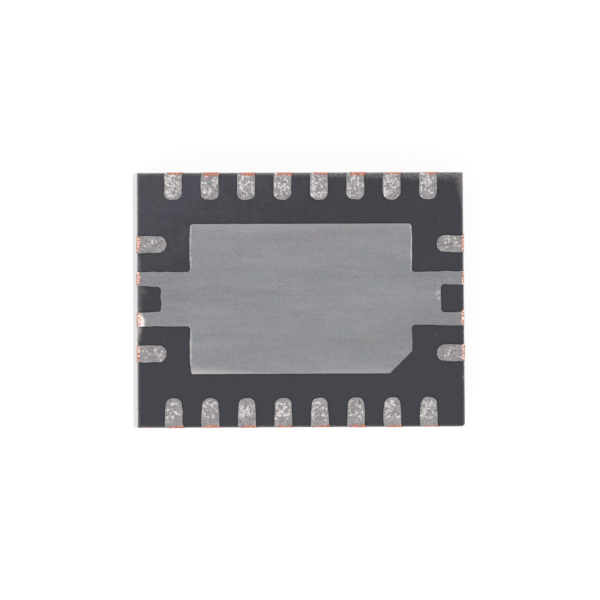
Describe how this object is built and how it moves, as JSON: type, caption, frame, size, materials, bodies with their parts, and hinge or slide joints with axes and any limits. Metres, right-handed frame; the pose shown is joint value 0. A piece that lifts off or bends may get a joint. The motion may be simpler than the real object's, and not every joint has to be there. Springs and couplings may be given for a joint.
{
  "type": "qfn chip",
  "caption": "Leadless surface-mount chip package with an exposed thermal pad, flush solder leads on all four edges and a chamfered pin 1 corner.",
  "frame": {"origin": "centre of the marked face, on the surface that the chip lies on", "axes": "+X along the longer side, towards the end with pin 1 and the chamfered corner of the pad; +Z out of the terminal side. To solder it to a board whose face is +Z, turn it half a turn about X."},
  "size_m": [0.0044, 0.0036, 0.0009],
  "materials": {
    "mould_compound": "matte moulded epoxy",
    "lead_plating": "coarse matte tin on copper",
    "pad_plating": "satin rolled and plated copper",
    "silicon": "polished silicon",
    "die_adhesive": "silver filled epoxy",
    "bond_wire": "bright copper"
  },
  "bodies": {
    "root": {"package_body": "mould_compound", "exposed_pad": "pad_plating", "silicon_die": "silicon", "die_adhesive": "die_adhesive", "lead_01": "lead_plating", "lead_02": "lead_plating", "lead_03": "lead_plating", "lead_04": "lead_plating", "lead_05": "lead_plating", "lead_06": "lead_plating", "lead_07": "lead_plating", "lead_08": "lead_plating", "lead_09": "lead_plating", "lead_10": "lead_plating", "lead_11": "lead_plating", "lead_12": "lead_plating", "lead_13": "lead_plating", "lead_14": "lead_plating", "lead_15": "lead_plating", "lead_16": "lead_plating", "lead_17": "lead_plating", "lead_18": "lead_plating", "lead_19": "lead_plating", "lead_20": "lead_plating", "bond_wire_01": "bond_wire", "bond_wire_02": "bond_wire", "bond_wire_03": "bond_wire", "bond_wire_04": "bond_wire", "bond_wire_05": "bond_wire", "bond_wire_06": "bond_wire", "bond_wire_07": "bond_wire", "bond_wire_08": "bond_wire", "bond_wire_09": "bond_wire", "bond_wire_10": "bond_wire", "bond_wire_11": "bond_wire", "bond_wire_12": "bond_wire", "bond_wire_13": "bond_wire", "bond_wire_14": "bond_wire", "bond_wire_15": "bond_wire", "bond_wire_16": "bond_wire", "bond_wire_17": "bond_wire", "bond_wire_18": "bond_wire", "bond_wire_19": "bond_wire", "bond_wire_20": "bond_wire"}
  },
  "joints": []
}
